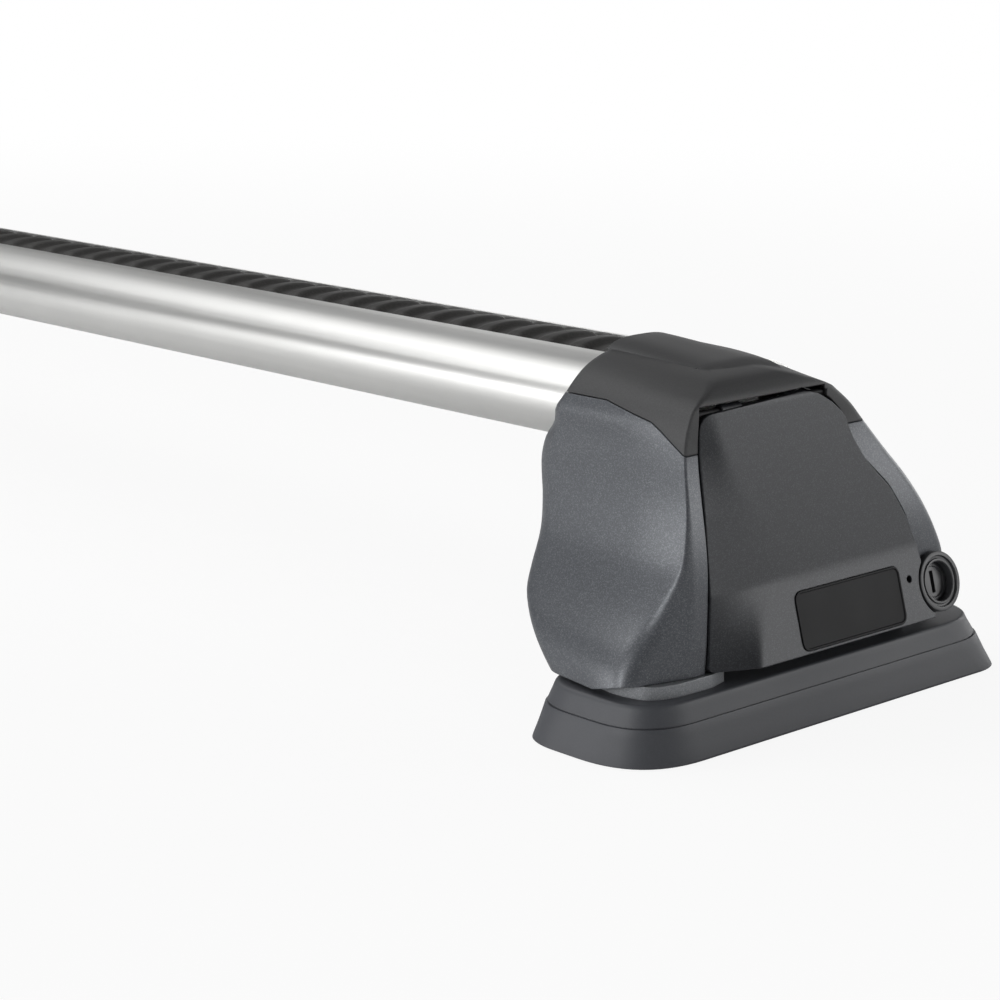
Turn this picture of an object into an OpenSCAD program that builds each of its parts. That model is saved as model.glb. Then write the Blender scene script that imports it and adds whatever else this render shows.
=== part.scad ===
// Roof rack crossbar: an aerofoil bar with a ribbed rubber strip, carried by a moulded leg at each end.
// Each leg stands on a rubber pad and has a lockable door that covers the fixing bolts.
// X runs along the bar, Y across it, Z up from the vehicle roof. Units are millimetres.

/* [Crossbar] */
// Cut length of the bar
bar_len = 1136; // [700:1:1500]
// Width of the aerofoil section
bar_w = 66; // [62:0.5:67]
// Height of the aerofoil section
bar_h = 31; // [29:0.5:31.5]
// Exponent of the section's rounded outline
bar_round = 2.4; // [2.1:0.1:2.6]
// Thickness of the outer wall
bar_wall = 2.2; // [1.6:0.1:2.8]
// Height of the bar's centre above the roof
bar_z = 97.5; // [97:0.1:98]
// Where the bar ends, seen from the leg's own zero
bar_end = 59; // [56:0.5:60]

/* [Top strip] */
// Width of the strip and of its slot
strip_w = 27; // [22:0.5:28]
// Thickness of the strip between its ribs
strip_t = 3.2; // [2.8:0.1:3.6]
// Height of a rib
rib_h = 1.1; // [0.4:0.1:1.4]
// Distance from rib to rib
rib_pitch = 15; // [10:1:25]
// Depth of the slot that holds the strip
slot_depth = 2.9; // [2.4:0.1:3.2]

/* [Underside slot] */
// Width of the neck of the nut slot
neck_w = 8; // [7:0.5:9]
// Width of the nut slot behind the neck
nut_slot_w = 15; // [13:0.5:16]
// Height of the nut slot
nut_slot_h = 6.2; // [5.6:0.1:7]

/* [Leg shell] */
// Wall of the housing
wall = 2.4; // [1.8:0.1:2.8]
// Wall of the top cap
cap_wall = 2; // [1.6:0.1:2.2]
// Gap between the cap and the housing
seam_gap = 0.4; // [0.2:0.1:0.8]

/* [Base] */
// Height of the rubber pad
pad_h = 19; // [17:0.5:20]
// Width of the pad along the bar
pad_w = 56.5; // [54:0.5:60]
// Length of the pad across the bar
pad_len = 175.5; // [168:0.5:185]
// Thickness of the cast flange
flange_t = 4.2; // [3.5:0.1:5]
// Distance between the two roof fixing holes
roof_pitch = 60; // [50:1:66]
// Diameter of a roof fixing hole
roof_hole_d = 8.5; // [6:0.5:10]

/* [Door] */
// Wall of the door
door_t = 2.4; // [2:0.1:2.6]
// Gap round the door
door_gap = 0.6; // [0.4:0.1:0.8]
// Lean of the door's lower face
door_lean = 15.5; // [13:0.5:17]
// Diameter of the hinge pin
pin_d = 2; // [1.6:0.1:2.2]
// Opening angle shown, from closed
door_open = 0; // [0:1:75]

/* [Plate] */
// Length of the plate
plate_len = 50; // [40:1:54]
// Height of the plate
plate_h = 18.8; // [14:0.2:20]
// Thickness of the plate
plate_t = 1.2; // [0.8:0.1:1.6]

/* [Lock] */
// Outer diameter of the collar
collar_d = 20; // [18:0.2:20.6]
// Diameter of the barrel's bore
lock_bore_d = 13; // [11:0.1:13.4]
// How deep the barrel sits behind the collar's face
lock_recess = 3; // [1.5:0.1:3.5]
// Reach of the pawl from the lock's axis
pawl_reach = 15; // [14:0.1:15.4]

/* [Fasteners] */
// Diameter of the bar bolts
bolt_d = 6; // [5:0.5:6]
// Distance between the bar bolts
bolt_pitch = 21; // [18:0.5:22]
// Diameter of the housing screws
screw_d = 4; // [3:0.5:4.5]

/* [Hidden] */
$fn = 48;

leg_x = bar_len / 2 - bar_end;
pad_y0 = -69;
mid_y = pad_y0 + pad_len / 2;
pad_x0 = 33.7;
flange_z = pad_h;
shell_z = flange_z + flange_t;
bar_bottom = bar_z - bar_h / 2;
slack = 0.3;

// Leg outline: heights against the place of each corner of the plan section
// The inner wall, towards the middle of the car
inner_x = [[20, 35.5], [23, 32], [28, 26.3], [33.5, 19.8], [39.5, 13.2], [46, 10.6], [57, 9.2], [68, 7.3],
    [74.5, 5.8], [80, 5.5], [86, 7.3], [90, 10.2], [93.5, 13.4], [97.5, 16.2], [102.5, 19.6], [105.5, 20.7],
    [108, 21.3], [113.4, 21.6]];
// The near side wall
near_y = [[20, -62.6], [23, -62], [28, -60.5], [33.5, -57.5], [39.5, -52.8], [46, -48.6], [57, -43.4],
    [68, -40.8], [77, -39.5], [90, -38.8], [97.5, -38], [102.5, -36.5], [105.5, -34.6], [108, -32], [110, -28.5],
    [111.5, -24.5], [112.7, -20], [113.4, -15]];
// The far side wall
far_y = [[20, 86.5], [23, 86], [42, 83.4], [50, 79.8], [59, 74.4], [66, 69.3], [72.5, 64], [79, 58], [86, 51.5],
    [92.5, 45.8], [97.5, 41.3], [102.5, 37.6], [105.5, 34.6], [108, 31.8], [110, 28.5], [111.5, 24.5], [112.7, 20],
    [113.4, 15]];
// The far end of the outer face, which is raked towards the top
rake_y = [[20, 83.5], [23, 83], [42, 80.4], [50, 76.6], [59, 71], [66, 66], [72.5, 60.8], [79, 55], [86, 48.9],
    [92.5, 43], [97.5, 37.9], [102.5, 31], [105.5, 26.6], [108, 21.8], [110, 17], [111.5, 12.5], [112.7, 8],
    [113.4, 4]];
// The outer face, beside the door
outer_x = [[20, 80.5], [23, 81.5], [37, 82.2], [59, 81.8], [90, 77.3], [104, 77.5], [107, 77.2], [109, 76.5],
    [110.5, 75.4], [111.5, 74], [112.7, 71], [113.4, 66]];
// The near end of the outer face
edge_y = [[20, -39.5], [90, -38], [102.5, -35.5], [105.5, -33.4], [108, -30.6], [110, -27], [111.5, -23],
    [112.7, -18.5], [113.4, -13.5]];
// The outer end of the near side wall, where the foot flares
flare_x = [[20, 75.5], [33.5, 76], [46, 79], [59, 81], [90, 77], [104, 77.2], [107, 76.8], [109, 75.8],
    [110.5, 74.4], [111.5, 72.6], [112.7, 69], [113.4, 63.5]];
// The outer end of the far side wall
far_x = [[20, 77], [59, 76], [72.5, 74], [86, 68], [92.5, 62], [102.5, 50], [113.4, 44]];
// How far the side walls turn in towards the middle of the car
bend = [[20, 5], [90, 5], [97.5, 2.5], [102.5, 2.6], [110, 2.4], [113.4, 1]];
ridge_x = 61;
belly = 2.5;
// Rounding of the two corners towards the middle of the car
inner_soft = [[20, 9], [90, 9], [97.5, 4], [113.4, 3]];
corner_steps = 4;

// Seam between the cap and the housing, in the plane along the bar
seam = [[-20, 102.6], [21.7, 102.6], [40.4, 102.9], [53.7, 100.7], [62, 99.4], [66.5, 97.4],
    [78.4, 90.5], [100, 89.4], [100, 130], [-20, 130]];

// Door: outline across the bar, and where its faces lie
door_z0 = 24;
valley_z = 47.5;
valley_x = 83.8;
upper_slope = 0.1018;
door_edge = [[-32.5, door_z0], [-32.5, 102.6], [15, 104.4], [20.5, 102.7], [26, 99.6], [31.8, 94.9],
    [35, 87.5], [41, 79], [52.5, 68.2], [59, 58.5], [64, valley_z + 0.2], [67.4, door_z0]];
door_soft = [1.5, 5, 6, 1, 1, 2, 2, 2, 2, 2, 1, 1];
// Height, left seam, main face and crease of the door's plan section
door_plan = [[20, 83, -18], [valley_z, 83, -10.8], [72, 80.3, -18.4], [90.6, 77.6, -24.4], [108, 77.4, -31]];
hinge = [75.5, 102.7];
door_sweep = norm([valley_x - upper_slope * (104.4 - valley_z) - hinge[0], 104.4 - hinge[1]]) - 0.3;
knuckles = [[-22.5, -14], [6, 14.5]];
pin_y = [-34.8, 27.1];
lug_y = [51, 56];

// Lock
lock_at = [87, 73, 34.6];
sleeve_d = collar_d - 4.8;
barrel_len = 13.3;
pawl_t = 3;
pawl_w = 6.4;
tail_d = 7;

// Base and fasteners
cradle_t = 4;
saddle_t = 2;
cradle_z = bar_bottom - saddle_t;
casting_x = [35, bar_end];
bolt_x = [31, 31 + bolt_pitch];
roof_x = 62;
roof_y = -18;
tab_at = [[52, -49.6], [50, 66]];
tab_t = 2.6;
washer_t = 1.6;
nut_h = 5;

// Points of a rounded outline: each corner is blended over a set-back distance on both sides
function unit(v) = v / max(norm(v), 0.0001);
function blend(a, p, b, s, n) =
    let (t = min(s, norm(a - p) * 0.49, norm(b - p) * 0.49), q0 = p + unit(a - p) * t, q1 = p + unit(b - p) * t)
    [for (i = [0 : n]) let (u = i / n) q0 * (1 - u) * (1 - u) + p * 2 * u * (1 - u) + q1 * u * u];
function rounded(pts, soft, n) =
    [for (i = [0 : len(pts) - 1])
        each blend(pts[(i + len(pts) - 1) % len(pts)], pts[i], pts[(i + 1) % len(pts)], soft[i], n)];

// An outline with each straight side moved outwards by g; the corners run clockwise
function left_of(a, b) = let (d = unit(b - a)) [-d[1], d[0]];
function grown(pts, g) =
    [for (i = [0 : len(pts) - 1])
        let (n = len(pts), p = pts[i], m = left_of(pts[(i + n - 1) % n], p), k = left_of(p, pts[(i + 1) % n]))
        p + (m + k) * g / (1 + m * k)];

// Section of the bar, drawn across it
function power(c, e) = sign(c) * pow(abs(c), 2 / e);
function aerofoil(w, h) =
    [for (i = [0 : 71]) let (a = i * 5) [w / 2 * power(cos(a), bar_round), h / 2 * power(sin(a), bar_round)]];
function aerofoil_z(y) = bar_h / 2 * pow(1 - pow(abs(2 * y / bar_w), bar_round), 1 / bar_round);

// Plan section of the leg at height z, with its walls moved in by d
function plan(z, d) =
    let (x0 = lookup(z, inner_x) + d, x1 = lookup(z, outer_x) - d, y0 = lookup(z, near_y) + d,
        y1 = lookup(z, far_y) - d, b = lookup(z, bend), x2 = lookup(z, flare_x) - d,
        x3 = lookup(z, far_x) - d / 2, ye = lookup(z, edge_y) + d / 2, yr = lookup(z, rake_y) - d)
    rounded(
        [[x1, ye], [x2, y0], [min(ridge_x, x2 - 4), y0], [x0, y0 + b], [x0 - belly, (y0 + y1) / 2],
            [x0, y1 - b], [x3, y1], [x1, yr]],
        [1.2, 7, 14, lookup(z, inner_soft), 20, lookup(z, inner_soft) + 3, 9, 3], corner_steps);

function ring(z, section_z, d) = [for (p = plan(section_z, d)) [p[0], p[1], z]];

// A closed shell between a stack of outer rings and a stack of inner rings, both given from the bottom up
module shell(outer, inner) {
    n = len(outer[0]);
    a = len(outer);
    b = len(inner);
    pts = [for (r = concat(outer, inner)) each r];
    function o(i, j) = i * n + j % n;
    function v(i, j) = (a + i) * n + j % n;
    walls = [for (i = [0 : a - 2], j = [0 : n - 1])
        each [[o(i, j), o(i, j + 1), o(i + 1, j + 1)], [o(i, j), o(i + 1, j + 1), o(i + 1, j)]]];
    inside = [for (i = [0 : b - 2], j = [0 : n - 1])
        each [[v(i, j), v(i + 1, j + 1), v(i, j + 1)], [v(i, j), v(i + 1, j), v(i + 1, j + 1)]]];
    foot = [for (j = [0 : n - 1])
        each [[o(0, j + 1), o(0, j), v(0, j)], [o(0, j + 1), v(0, j), v(0, j + 1)]]];
    top = [for (j = [0 : n - 1])
        each [[o(a - 1, j), o(a - 1, j + 1), v(b - 1, j)], [v(b - 1, j), o(a - 1, j + 1), v(b - 1, j + 1)]]];
    polyhedron(pts, concat(walls, inside, foot, top), convexity = 8);
}

// A closed solid through a stack of rings, given from the bottom up
module loft(rings) {
    n = len(rings[0]);
    a = len(rings);
    function o(i, j) = i * n + j % n;
    walls = [for (i = [0 : a - 2], j = [0 : n - 1])
        each [[o(i, j), o(i, j + 1), o(i + 1, j + 1)], [o(i, j), o(i + 1, j + 1), o(i + 1, j)]]];
    ends = [[for (j = [0 : n - 1]) n - 1 - j], [for (j = [0 : n - 1]) o(a - 1, j)]];
    polyhedron([for (r = rings) each r], concat(walls, ends), convexity = 6);
}

// A profile drawn across the bar, extruded along it from x0 to x1
module along_x(x0, x1) translate([x0, 0, 0]) rotate([90, 0, 90]) linear_extrude(x1 - x0) children();

// A profile drawn along the bar, extruded across it from y0 to y1
module along_y(y0, y1) translate([0, y1, 0]) rotate([90, 0, 0]) linear_extrude(y1 - y0) children();

module right() translate([leg_x, -mid_y, 0]) children();
module left() mirror([1, 0, 0]) right() children();

// The lock's own frame: X runs out of the lock's face, Z up along it
module at_lock() translate(lock_at) rotate([0, -door_lean, 0]) children();
module lock_rod(d, from, to) at_lock() translate([-to, 0, 0]) rotate([0, 90, 0]) cylinder(d = d, h = to - from);

// The frame of the door's lower face, with its zero on the valley crease
module at_face() translate([valley_x, 0, valley_z]) rotate([0, -door_lean, 0]) children();

// Room for the bar in the leg, wider than the bar by g all round
module bar_room(g) along_x(-30, bar_end + 1) translate([0, bar_z]) polygon(aerofoil(bar_w + 2 * g, bar_h + 2 * g));

// Bar
module crossbar() color("silver")
    translate([0, -mid_y, bar_z])
    difference() {
        half = bar_len / 2;
        along_x(-half, half) polygon(aerofoil(bar_w, bar_h));
        for (side = [-1, 1])
            intersection() {
                along_x(-half - 1, half + 1) polygon(aerofoil(bar_w - 2 * bar_wall, bar_h - 2 * bar_wall));
                along_x(-half - 1, half + 1) translate([side * (strip_w / 2 + bar_w / 2), 0])
                    square([bar_w, bar_h], center = true);
            }
        along_x(-half - 1, half + 1) bar_slots();
    }

slot_z = aerofoil_z(strip_w / 2) - slot_depth;
module bar_slots() {
    translate([-strip_w / 2, slot_z]) square([strip_w, 20]);
    translate([-strip_foot_w / 2, slot_z - 3]) square([strip_foot_w, 4]);
    translate([-11, slot_z - 9.3]) square([22, 7]);
    translate([-11, -4.6]) square([22, 5.2]);
    translate([-neck_w / 2, -20]) square([neck_w, 8]);
    translate([-nut_slot_w / 2, nut_floor]) square([nut_slot_w, nut_slot_h]);
}
strip_foot_w = 11;
nut_floor = -bar_h / 2 + 2.6;

// Strip between the two caps, with a raised rib at each pitch
strip_half = leg_x + 20 - 0.4;
module top_strip() color([0.1, 0.1, 0.1])
    translate([0, -mid_y, bar_z + slot_z]) {
        count = floor(2 * (strip_half - rib_pitch / 2) / rib_pitch);
        start = -(count - 1) * rib_pitch / 2;
        crown = 1.4;
        edge = strip_t - 0.6;
        radius = (pow(strip_w / 2, 2) + pow(crown, 2)) / (2 * crown);
        intersection() {
            along_y(-strip_w / 2, strip_w / 2)
                polygon(concat([[-strip_half, 0], [-strip_half, strip_t]],
                    [for (i = [0 : count - 1]) each rib(start + i * rib_pitch)],
                    [[strip_half, strip_t], [strip_half, 0]]));
            translate([-strip_half, 0, edge + crown + rib_h - radius]) rotate([0, 90, 0])
                cylinder(r = radius, h = 2 * strip_half, $fn = 200);
        }
        along_x(-strip_half, strip_half) translate([-strip_foot_w / 2 + 0.1, -2.6])
            square([strip_foot_w - 0.2, 2.6]);
        along_x(-strip_half, strip_half) translate([-8, -4.2]) square([16, 1.7]);
    }
function rib(x) = [[x - rib_pitch * 0.26, strip_t], [x - rib_pitch * 0.12, strip_t + rib_h],
    [x + rib_pitch * 0.12, strip_t + rib_h], [x + rib_pitch * 0.26, strip_t]];

// Infill of the underside slot, between the two housings
module lower_strip() color([0.12, 0.12, 0.12])
    translate([0, -mid_y, bar_z])
    along_x(-leg_x - 2, leg_x + 2) {
        translate([-neck_w / 2 + 0.1, -bar_h / 2 + 0.1]) square([neck_w - 0.2, 3]);
        translate([-nut_slot_w / 2 + 0.8, nut_floor + 0.1]) square([nut_slot_w - 1.6, 1.8]);
    }

// Opening for the door in the housing and the cap, with a round land kept for the lock
module door_opening() difference() {
    along_x(64, 100) union() {
        polygon(rounded(grown(door_edge, door_gap), door_soft, 3));
        translate([0, door_gap]) polygon(rounded(grown(door_edge, door_gap), door_soft, 3));
        translate([-32.5 - door_gap, 15]) square([99, 12]);
    }
    lock_rod(collar_d + 1.2, -20, 40);
}

outer_levels = [20, 23, 28, 33.5, 39.5, 46, 52, 59, 68, 74.5, 80, 86, 90, 93.5, 97.5, 102.5, 105.5];
inner_levels = [20, 28, 33.5, 46, 57, 68, 80, 90, 97.5, 105.5];
// Lower edge of the housing: a skirt round the flange that rises towards the door
skirt_z = 20.4;
skirt = [[0, 10], [0, skirt_z], [62, skirt_z], [74, shell_z + 0.2], [110, shell_z + 0.2], [110, 10]];
module housing() color([0.28, 0.29, 0.31])
    difference() {
        union() {
            difference() {
                shell([for (z = outer_levels) ring(z, z, 0)], [for (z = inner_levels) ring(z, z, wall)]);
                along_y(-120, 120) polygon(skirt);
            }
            for (p = tab_at) housing_tab(p);
        }
        along_y(-120, 120) translate([0, -seam_gap]) polygon(seam);
        bar_room(slack);
        door_opening();
        lock_rod(sleeve_d + 0.2, -20, 30);
        for (p = tab_at) translate([p[0], p[1], shell_z - 1]) cylinder(d = screw_d + 0.4, h = 10);
    }

// Foot inside the housing that takes a screw
module housing_tab(p)
    translate([0, 0, shell_z]) linear_extrude(tab_t) {
        translate(p) circle(r = 6);
        translate([tab_root, p[1] - 3]) square([p[0] - tab_root, 9]);
    }
tab_root = 33.2;

cap_levels = [86, 90, 93.5, 97.5, 102.5, 105.5, 108, 110, 111.5, 112.7, 113.4];
cap_inside = [86, 93.5, 97.5, 102.5];
crown_at = [46, 0];
// The crown is closed by rings drawn in to its middle, and it falls a little towards the outer end
function crown_z(p, z) = z - 0.045 * (p[0] - 35) * max(0, min(1, (z - 104) / 6));
function drawn_in(z, k, drop) =
    [for (p = plan(z, 0)) let (q = crown_at + (p - crown_at) * k)
        [q[0], q[1], crown_z(q, z) + crown_rise * (1 - k * k) - drop]];
crown_rise = 0.5;
module cap_shell() {
    outer = concat([for (z = cap_levels) drawn_in(z, 1, 0)], [for (k = [0.8, 0.5, 0.2]) drawn_in(113.4, k, 0)]);
    inner = concat([for (z = cap_inside) ring(z, z, cap_wall)],
        [for (z = [105.5, 108, 110, 111.5]) [for (p = plan(z, cap_wall * (117 - z) / 11.5))
            [p[0], p[1], crown_z(p, z) - cap_wall * (z - 102.5) / 9]]],
        [for (k = [0.8, 0.5, 0.2]) drawn_in(112.7, k, cap_wall)]);
    difference() {
        loft(outer);
        loft(concat([[for (p = inner[0]) [p[0], p[1], p[2] - 1]]], inner));
    }
}

// Raised arch over the strip, which runs out towards the outer end
arch_w = 27;
arch_line = [[21, 110], [21, 116.9], [26, 116.6], [40, 115.4], [55, 113.9], [62, 112.9], [67, 111.5], [67, 110]];
function arch(w, h) = [for (i = [0 : 16]) let (a = i * 11.25) [w / 2 * cos(a), h * pow(sin(a), 0.8)]];
module strip_arch() intersection() {
    along_x(20, 70) translate([0, 112.6]) {
        polygon(arch(arch_w + 2, 4.3));
        translate([-arch_w / 2 - 1, -1.4]) square([arch_w + 2, 1.5]);
    }
    along_y(-20, 20) polygon(arch_line);
}

module top_cap() color([0.25, 0.25, 0.24])
    difference() {
        union() {
            intersection() {
                cap_shell();
                along_y(-120, 120) polygon(seam);
            }
            strip_arch();
            hinge_ears();
        }
        bar_room(slack);
        along_x(0, 26) translate([-strip_w / 2 - 0.4, bar_z]) square([strip_w + 0.8, 15.4]);
        along_x(0, 26) translate([0, bar_z + 15.3]) polygon(arch(strip_w + 0.8, 2.4));
        door_opening();
        hinge_rod(2 * door_sweep + 0.9, -32.5 - door_gap, 23.8);
        hinge_rod(4.4, 23, 24.8);
        hinge_rod(pin_d + 0.02, pin_y[0], 40);
    }

module hinge_rod(d, y0, y1)
    translate([hinge[0], y0, hinge[1]]) rotate([-90, 0, 0]) cylinder(d = d, h = y1 - y0);

// Blocks inside the cap that hold the ends of the hinge pin, beside the door
module hinge_ears() {
    along_y(-35, -33.4) translate([hinge[0] - 3, hinge[1] - 2]) square([4.4, 3.3]);
    along_y(25, pin_y[1] + 0.4) translate(hinge) circle(d = pin_d + 1.7);
}

// Cast base: the flange, the portal that carries the cradle, and the cradle plate
flange_edge = [[82.8, -31], [82.8, -46], [79.5, -55.5], [68, -58], [44, -53.5], [39, 40], [41, 76],
    [75, 80.5], [79, 64], [72, 62], [72, -28], [80.5, -23]];
flange_soft = [1, 5, 7, 9, 9, 20, 9, 5, 2, 3, 3, 1];
module base_casting() color([0.32, 0.33, 0.35])
    difference() {
        union() {
            translate([0, 0, flange_z]) linear_extrude(flange_t) polygon(rounded(flange_edge, flange_soft, 4));
            along_x(casting_x[0], casting_x[1]) portal();
            translate([24, -30, cradle_z - cradle_t]) cube([bar_end - 24, 60, cradle_t]);
        }
        for (x = bolt_x) translate([x, 0, cradle_z - 10]) cylinder(d = bolt_d + 0.6, h = 20);
        roof_holes();
        lock_rod(sleeve_d + 1.4, 0, 30);
        for (p = tab_at) translate([p[0], p[1], flange_z - 1]) cylinder(d = screw_d + 0.1, h = 10);
    }

module roof_holes()
    for (i = [0, 1]) translate([roof_x, roof_y + i * roof_pitch, -1]) cylinder(d = roof_hole_d, h = shell_z + 2);

module portal() difference() {
    polygon([[-43, shell_z - 0.5], [-30, cradle_z - cradle_t - 3], [-30, cradle_z], [30, cradle_z],
        [30, cradle_z - cradle_t - 3], [59, shell_z - 0.5]]);
    polygon([[-37, shell_z - 2], [-24, cradle_z - cradle_t - 2], [-22, cradle_z - cradle_t],
        [22, cradle_z - cradle_t], [24, cradle_z - cradle_t - 2], [52, shell_z - 2]]);
}

// Rubber pad: a low block with leaning sides, a crease round it and a rounded rim
pad_levels = [[0, 0.4], [0.02, 0], [0.3, 1.5], [0.64, 3.1], [0.66, 3.5], [0.85, 4.7], [0.96, 5.4], [1, 6.2]];
function pad_soft(f) = [27 - 9 * f, 18 + f, 20, 14 + 5 * f];
function pad_ring(f, d) =
    let (x0 = pad_x0 + 0.8 * d, x1 = pad_x0 + pad_w - 0.65 * d, y0 = pad_y0 + d, y1 = pad_y0 + pad_len - 1.1 * d)
    [for (p = rounded([[x1, y0], [x0, y0], [x0, y1], [x1, y1]], pad_soft(f), 7)) [p[0], p[1], f * pad_h]];
module base_pad() color([0.2, 0.2, 0.21])
    difference() {
        loft([for (l = pad_levels) pad_ring(l[0], l[1])]);
        roof_holes();
    }

// Plastic saddle that follows the underside of the bar
module saddle_pad() color([0.15, 0.15, 0.15])
    difference() {
        translate([24.5, -28, cradle_z]) cube([bar_end - 25, 56, 7.6]);
        bar_room(0.05);
        for (x = bolt_x) translate([x, 0, cradle_z - 1]) cylinder(d = bolt_d + 0.8, h = 20);
    }

// Door: an upper face, a lower face that leans out, and a facet that runs down to the left seam
function face_x(z) = z > valley_z
    ? valley_x - (z - valley_z) * upper_slope
    : valley_x + (valley_z - z) * tan(door_lean);
function door_ring(p) =
    let (z = p[0], xs = min(p[1], face_x(p[0])), xm = face_x(p[0]), y = p[2])
    [[xs, -34, z], [xs - door_t, -34, z], [xm - door_t, y + 1, z], [xm - door_t, 72, z], [xm, 72, z], [xm, y, z]];
module door_skin() intersection() {
    loft([for (p = door_plan) door_ring(p)]);
    along_x(60, 100) polygon(rounded(door_edge, door_soft, 3));
}

module door() color([0.24, 0.25, 0.27])
    difference() {
        union() {
            difference() {
                door_skin();
                difference() {
                    translate([60, -40, hinge[1]]) cube([40, 80, 10]);
                    hinge_rod(2 * door_sweep, -41, 41);
                }
            }
            for (k = knuckles) {
                hinge_rod(pin_d + 1.6, k[0], k[1]);
                translate([hinge[0], k[0], hinge[1] - 2.6]) cube([1.8, k[1] - k[0], 2.8]);
            }
            door_lug();
        }
        hinge_rod(pin_d + 0.2, -40, 40);
        lock_rod(collar_d + 2.6, -20, 8);
        at_face() translate([-plate_seat, plate_y - 0.15, -plate_top - plate_h - 0.15])
            rotate([90, 0, 90]) linear_extrude(5)
            translate([(plate_len + 0.3) / 2, (plate_h + 0.3) / 2]) plate_outline(0.15);
        at_face() translate([-5, 57.4, -10]) rotate([0, 90, 0]) cylinder(d = 2.4, h = 10);
    }

// Hook behind the door that the pawl holds
lug_z = [26.5, 35];
lip_x = [63.2, 65.4];
module door_lug() {
    translate([lip_x[0], lug_y[0], lug_z[0]])
        cube([face_x(lug_z[1]) - door_t / 2 - lip_x[0], lug_y[1] - lug_y[0], lug_z[1] - lug_z[0]]);
    translate([lip_x[0], lug_y[0], lug_z[0]])
        cube([lip_x[1] - lip_x[0], 60.5 - lug_y[0], lug_z[1] - lug_z[0]]);
}

// Plate on the door's lower face, in a shallow pocket
plate_y = 2.7;
plate_top = 4.6;
plate_seat = 0.8;
module plate_outline(g) {
    r = 2.5 + g;
    w = plate_len / 2 + g - r;
    h = plate_h / 2 + g - r;
    square([2 * w, 2 * h + 2 * r], center = true);
    square([2 * w + 2 * r, 2 * h], center = true);
    for (a = [-1, 1], b = [-1, 1]) translate([a * w, b * h]) circle(r = r);
}
module door_plate() color([0.06, 0.06, 0.07])
    at_face() translate([-plate_seat, plate_y, -plate_top - plate_h])
    rotate([90, 0, 90]) linear_extrude(plate_t)
    translate([plate_len / 2, plate_h / 2]) plate_outline(0);

module hinge_pin() color("silver") hinge_rod(pin_d, pin_y[0], pin_y[1]);

// Lock: a collar fixed in the housing, a barrel that turns in it, and the pawl on its tail
module lock_collar() color([0.12, 0.12, 0.13])
    difference() {
        union() {
            intersection() {
                lock_rod(collar_d, 0, 12);
                translate([lookup(lock_at[2], outer_x) + 0.1, 40, 0]) cube([20, 60, 80]);
            }
            lock_rod(sleeve_d, 2, lock_recess + barrel_len);
        }
        lock_rod(lock_bore_d, -5, 40);
        lock_rod(collar_d - 4, -5, 1);
    }

module lock_barrel() color([0.35, 0.35, 0.36])
    difference() {
        union() {
            lock_rod(lock_bore_d - 0.16, lock_recess, lock_recess + barrel_len);
            lock_rod(tail_d, lock_recess + barrel_len, lock_recess + barrel_len + pawl_t + 0.4);
        }
        at_lock() translate([-lock_recess - 6, -0.6, -3.6]) cube([8, 1.2, 7.2]);
        lock_rod(screw_d * 0.75, lock_recess + 8, 40);
    }

pawl_s = lock_recess + barrel_len + 0.2;
module lock_pawl() color("silver")
    difference() {
        at_lock() translate([-pawl_s - pawl_t, 0, 0]) rotate([90, 0, 90]) linear_extrude(pawl_t) {
            circle(d = tail_d + 3);
            translate([-pawl_w / 2, 0]) square([pawl_w, pawl_reach - pawl_w / 2]);
            translate([0, pawl_reach - pawl_w / 2]) circle(d = pawl_w);
        }
        lock_rod(tail_d + 0.04, 0, 40);
    }

module pawl_screw() color("silver") {
    s = lock_recess + barrel_len + pawl_t + 0.4;
    lock_rod(screw_d * 0.75 - 0.04, s - 6, s);
    lock_rod(tail_d + 0.6, s, s + 1.8);
}

// Fasteners
module bar_bolts() color("silver")
    for (x = bolt_x) translate([x, 0, 0]) {
        top = bar_bottom + 2.6 + nut_h + 0.8;
        seat = cradle_z - cradle_t - washer_t;
        translate([0, 0, seat]) cylinder(d = bolt_d, h = top - seat);
        translate([0, 0, seat - 4]) difference() {
            cylinder(d = bolt_d * 1.7, h = 4);
            translate([0, 0, -1]) cylinder(d = bolt_d * 0.9, h = 3.4, $fn = 6);
        }
    }

module bar_nuts() color("silver")
    for (x = bolt_x) translate([x, 0, bar_z + nut_floor + 0.1]) difference() {
        cylinder(d = bolt_d * 1.9, h = nut_h, $fn = 6);
        translate([0, 0, -1]) cylinder(d = bolt_d + 0.02, h = nut_h + 2);
    }

module bolt_washers() color("silver")
    for (x = bolt_x) translate([x, 0, cradle_z - cradle_t - washer_t]) difference() {
        cylinder(d = bolt_d * 2.1, h = washer_t);
        translate([0, 0, -1]) cylinder(d = bolt_d + 0.4, h = washer_t + 2);
    }

module housing_screws() color("silver")
    for (p = tab_at) translate([p[0], p[1], shell_z + tab_t]) {
        translate([0, 0, -tab_t - flange_t + 0.4]) cylinder(d = screw_d, h = tab_t + flange_t - 0.4);
        cylinder(d = screw_d * 1.8, h = 2.4);
    }

// The door and its plate turned about the hinge
module swung() translate([hinge[0], 0, hinge[1]]) rotate([0, -door_open, 0]) translate([-hinge[0], 0, -hinge[1]])
    children();

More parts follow.
